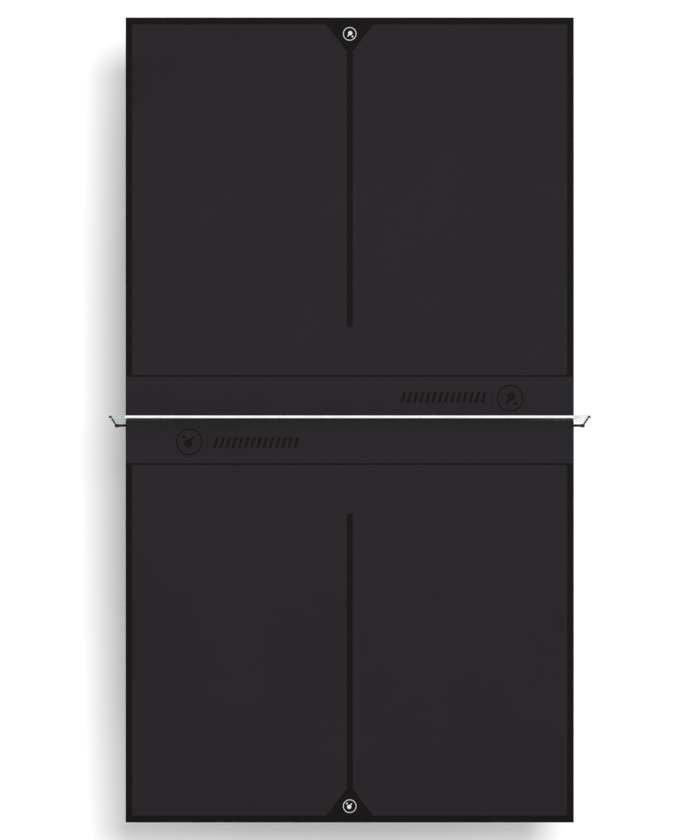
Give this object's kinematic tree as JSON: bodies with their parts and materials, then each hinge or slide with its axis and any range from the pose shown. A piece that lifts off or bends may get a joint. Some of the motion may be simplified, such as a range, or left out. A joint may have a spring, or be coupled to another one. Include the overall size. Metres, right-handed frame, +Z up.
{
  "type": "table tennis table",
  "caption": "Folding table tennis table: two hinged charcoal halves on a wheeled steel chassis, with legs that fold with them and a net on lift-out posts.",
  "frame": {"origin": "on the floor under the joint between the two halves, at the centre of the bounding box's base", "axes": "+X across the table along the net to the right side, +Y along the table to the far half, +Z up"},
  "size_m": [1.611, 2.74, 0.9185],
  "materials": {
    "board": "matte charcoal paint on board",
    "frame_steel": "black powder coat",
    "castor_plastic": "fine grained moulding",
    "castor_tyre": "soft grey tread",
    "pedal_plastic": "moulded",
    "foot_plastic": "hard rubber",
    "zinc_steel": "zinc plated",
    "net_cord": "knotted netting",
    "net_tape": "white woven tape"
  },
  "bodies": {
    "chassis": {"base_rail_left": "frame_steel", "base_rail_right": "frame_steel", "upright_far_left": "frame_steel", "upright_far_right": "frame_steel", "upright_near_left": "frame_steel", "upright_near_right": "frame_steel", "cross_tube_far": "frame_steel", "cross_tube_near": "frame_steel", "cross_tube_centre": "frame_steel", "net_column_left": "frame_steel", "net_arm_left": "frame_steel", "net_socket_left": "frame_steel", "net_column_right": "frame_steel", "net_arm_right": "frame_steel", "net_socket_right": "frame_steel"},
    "half_far": {"table_top_far": "board", "inner_rail_far": "frame_steel", "end_rail_far": "frame_steel", "side_rail_far_left": "frame_steel", "under_rail_far_left": "frame_steel", "side_rail_far_right": "frame_steel", "under_rail_far_right": "frame_steel"},
    "legs_far": {"leg_brace_far": "frame_steel", "leg_far_left": "frame_steel", "leg_far_right": "frame_steel"},
    "struts_far": {"strut_far_left": "frame_steel", "strut_far_right": "frame_steel"},
    "lock_bolt_far": {"lock_bolt_far": "zinc_steel"},
    "half_near": {"table_top_near": "board", "inner_rail_near": "frame_steel", "end_rail_near": "frame_steel", "side_rail_near_left": "frame_steel", "under_rail_near_left": "frame_steel", "side_rail_near_right": "frame_steel", "under_rail_near_right": "frame_steel"},
    "legs_near": {"leg_brace_near": "frame_steel", "leg_near_left": "frame_steel", "leg_near_right": "frame_steel"},
    "struts_near": {"strut_near_left": "frame_steel", "strut_near_right": "frame_steel"},
    "lock_bolt_near": {"lock_bolt_near": "zinc_steel"},
    "castor_far_left": {"castor_fork_far_left": "castor_plastic"},
    "wheel_far_left": {"castor_wheel_far_left": "castor_tyre"},
    "foot_far_left": {"foot_far_left": "foot_plastic"},
    "castor_far_right": {"castor_fork_far_right": "castor_plastic"},
    "wheel_far_right": {"castor_wheel_far_right": "castor_tyre"},
    "foot_far_right": {"foot_far_right": "foot_plastic"},
    "castor_near_left": {"castor_fork_near_left": "castor_plastic"},
    "wheel_near_left": {"castor_wheel_near_left": "castor_tyre"},
    "foot_near_left": {"foot_near_left": "foot_plastic"},
    "pedal_near_left": {"castor_pedal_near_left": "pedal_plastic"},
    "castor_near_right": {"castor_fork_near_right": "castor_plastic"},
    "wheel_near_right": {"castor_wheel_near_right": "castor_tyre"},
    "foot_near_right": {"foot_near_right": "foot_plastic"},
    "pedal_near_right": {"castor_pedal_near_right": "pedal_plastic"},
    "net_set": {"net_post_left": "frame_steel", "net_post_right": "frame_steel", "net_mesh": "net_cord", "net_tape": "net_tape"}
  },
  "joints": [
    {"name": "half_fold_far", "type": "hinge", "parent": "chassis", "child": "half_far", "pos_m": [0, 0.4, 0.72], "axis": [1, 0, 0], "range_deg": [0, 90]},
    {"name": "leg_fold_far", "type": "hinge", "parent": "half_far", "child": "legs_far", "pos_m": [0, 1.2, 0.68], "axis": [-1, 0, 0], "range_deg": [0, 90]},
    {"name": "strut_fold_far", "type": "hinge", "parent": "chassis", "child": "struts_far", "pos_m": [0, 0.4, 0.47], "axis": [1, 0, 0], "range_deg": [0, 90]},
    {"name": "lock_slide_far", "type": "slide", "parent": "half_far", "child": "lock_bolt_far", "axis": [1, 0, 0], "range_m": [0, 0.0095]},
    {"name": "half_fold_near", "type": "hinge", "parent": "chassis", "child": "half_near", "pos_m": [0, -0.4, 0.72], "axis": [-1, 0, 0], "range_deg": [0, 90]},
    {"name": "leg_fold_near", "type": "hinge", "parent": "half_near", "child": "legs_near", "pos_m": [0, -1.2, 0.68], "axis": [1, 0, 0], "range_deg": [0, 90]},
    {"name": "strut_fold_near", "type": "hinge", "parent": "chassis", "child": "struts_near", "pos_m": [0, -0.4, 0.47], "axis": [-1, 0, 0], "range_deg": [0, 90]},
    {"name": "lock_slide_near", "type": "slide", "parent": "half_near", "child": "lock_bolt_near", "axis": [1, 0, 0], "range_m": [0, 0.0095]},
    {"name": "castor_swivel_far_left", "type": "hinge", "parent": "chassis", "child": "castor_far_left", "pos_m": [-0.62, 0.455, 0.124], "axis": [0, 0, 1], "continuous": true},
    {"name": "wheel_spin_far_left", "type": "hinge", "parent": "castor_far_left", "child": "wheel_far_left", "pos_m": [-0.62, 0.483, 0.05], "axis": [1, 0, 0], "continuous": true},
    {"name": "foot_level_far_left", "type": "slide", "parent": "legs_far", "child": "foot_far_left", "axis": [0, 0, 1], "range_m": [-0.012, 0]},
    {"name": "castor_swivel_far_right", "type": "hinge", "parent": "chassis", "child": "castor_far_right", "pos_m": [0.62, 0.455, 0.124], "axis": [0, 0, 1], "continuous": true},
    {"name": "wheel_spin_far_right", "type": "hinge", "parent": "castor_far_right", "child": "wheel_far_right", "pos_m": [0.62, 0.483, 0.05], "axis": [1, 0, 0], "continuous": true},
    {"name": "foot_level_far_right", "type": "slide", "parent": "legs_far", "child": "foot_far_right", "axis": [0, 0, 1], "range_m": [-0.012, 0]},
    {"name": "castor_swivel_near_left", "type": "hinge", "parent": "chassis", "child": "castor_near_left", "pos_m": [-0.62, -0.455, 0.124], "axis": [0, 0, 1], "continuous": true},
    {"name": "wheel_spin_near_left", "type": "hinge", "parent": "castor_near_left", "child": "wheel_near_left", "pos_m": [-0.62, -0.483, 0.05], "axis": [1, 0, 0], "continuous": true},
    {"name": "brake_pedal_near_left", "type": "hinge", "parent": "castor_near_left", "child": "pedal_near_left", "pos_m": [-0.62, -0.507, 0.1125], "axis": [1, 0, 0], "range_deg": [0, 14]},
    {"name": "foot_level_near_left", "type": "slide", "parent": "legs_near", "child": "foot_near_left", "axis": [0, 0, 1], "range_m": [-0.012, 0]},
    {"name": "castor_swivel_near_right", "type": "hinge", "parent": "chassis", "child": "castor_near_right", "pos_m": [0.62, -0.455, 0.124], "axis": [0, 0, 1], "continuous": true},
    {"name": "wheel_spin_near_right", "type": "hinge", "parent": "castor_near_right", "child": "wheel_near_right", "pos_m": [0.62, -0.483, 0.05], "axis": [1, 0, 0], "continuous": true},
    {"name": "brake_pedal_near_right", "type": "hinge", "parent": "castor_near_right", "child": "pedal_near_right", "pos_m": [0.62, -0.507, 0.1125], "axis": [1, 0, 0], "range_deg": [0, 14]},
    {"name": "foot_level_near_right", "type": "slide", "parent": "legs_near", "child": "foot_near_right", "axis": [0, 0, 1], "range_m": [-0.012, 0]},
    {"name": "net_lift", "type": "slide", "parent": "chassis", "child": "net_set", "axis": [0, 0, 1], "range_m": [0, 0.05]}
  ],
  "couplings": [
    {"joint": "leg_fold_far", "follows": "half_fold_far", "ratio": 1},
    {"joint": "strut_fold_far", "follows": "half_fold_far", "ratio": 1},
    {"joint": "leg_fold_near", "follows": "half_fold_near", "ratio": 1},
    {"joint": "strut_fold_near", "follows": "half_fold_near", "ratio": 1}
  ]
}
